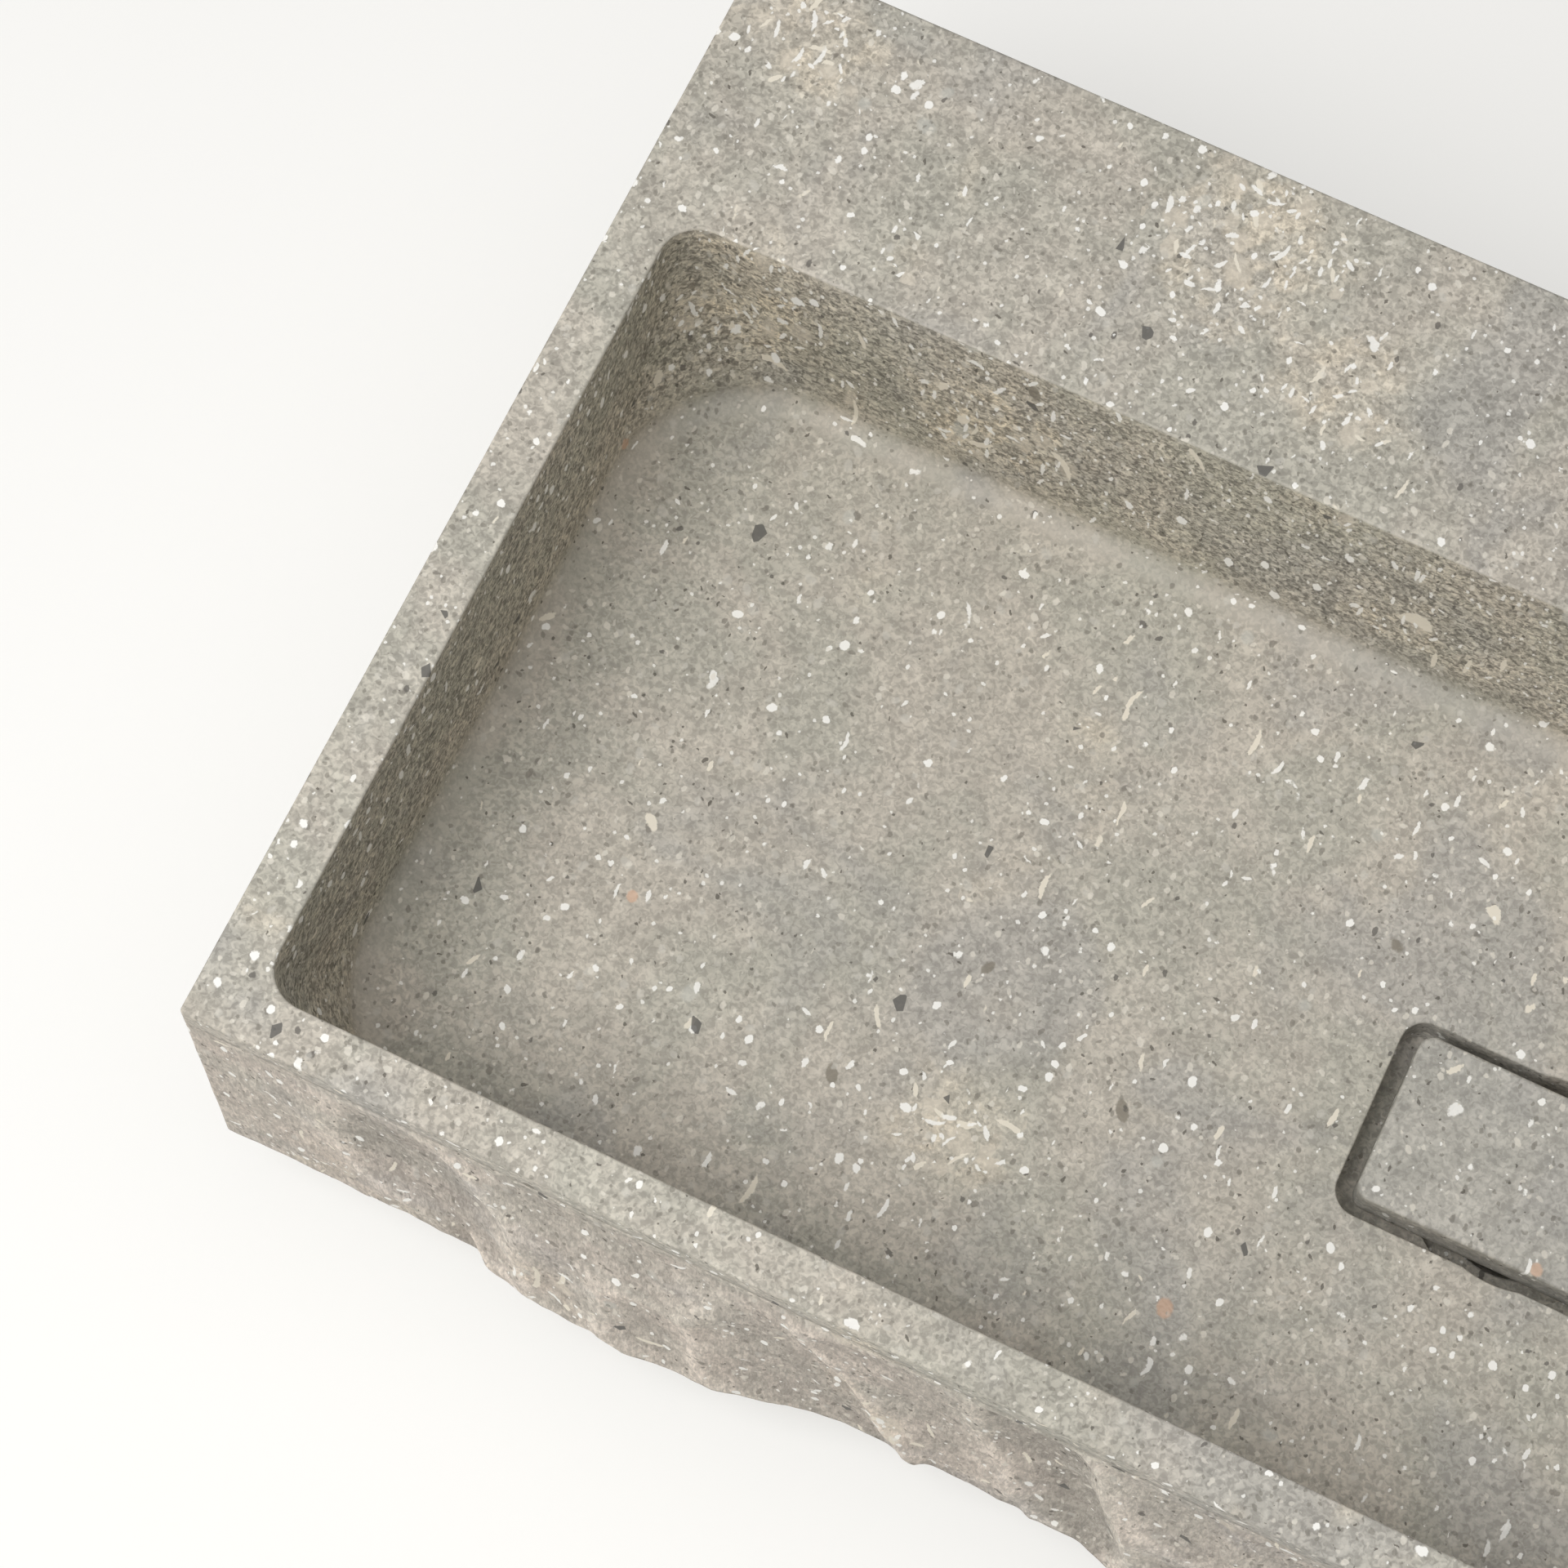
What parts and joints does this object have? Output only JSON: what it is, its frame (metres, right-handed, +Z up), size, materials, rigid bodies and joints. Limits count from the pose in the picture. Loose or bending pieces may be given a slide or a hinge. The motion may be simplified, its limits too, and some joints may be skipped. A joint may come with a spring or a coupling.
{
  "type": "trough sink",
  "caption": "Long rectangular trough sink cut from one block of fossil limestone, with a rock-split front face, a tap deck and a lift-off stone cover over the drain.",
  "frame": {"origin": "on the back face, midway between the two wall bolts, 60 mm below the top", "axes": "+X along the wall to the user's right, +Y into the wall, +Z up"},
  "size_m": [0.9, 0.472, 0.2085],
  "materials": {
    "limestone": "matte",
    "cover_limestone": "matte",
    "rubber": "matte",
    "steel": "satin",
    "plated_brass": "polished",
    "plain_brass": "satin",
    "nylon": "matte"
  },
  "bodies": {
    "basin": {"stone_basin": "limestone", "strainer_plate": "steel", "strainer_screw": "steel", "waste_body": "plated_brass", "flange_seal": "rubber", "stone_gasket": "rubber", "slip_washer": "nylon", "back_nut": "plain_brass", "wall_sleeves": "steel"},
    "cover": {"drain_cover": "cover_limestone", "cover_feet": "rubber"}
  },
  "joints": [
    {"name": "cover_lift", "type": "slide", "parent": "basin", "child": "cover", "axis": [0, 0, 1], "range_m": [0, 0.16]}
  ]
}
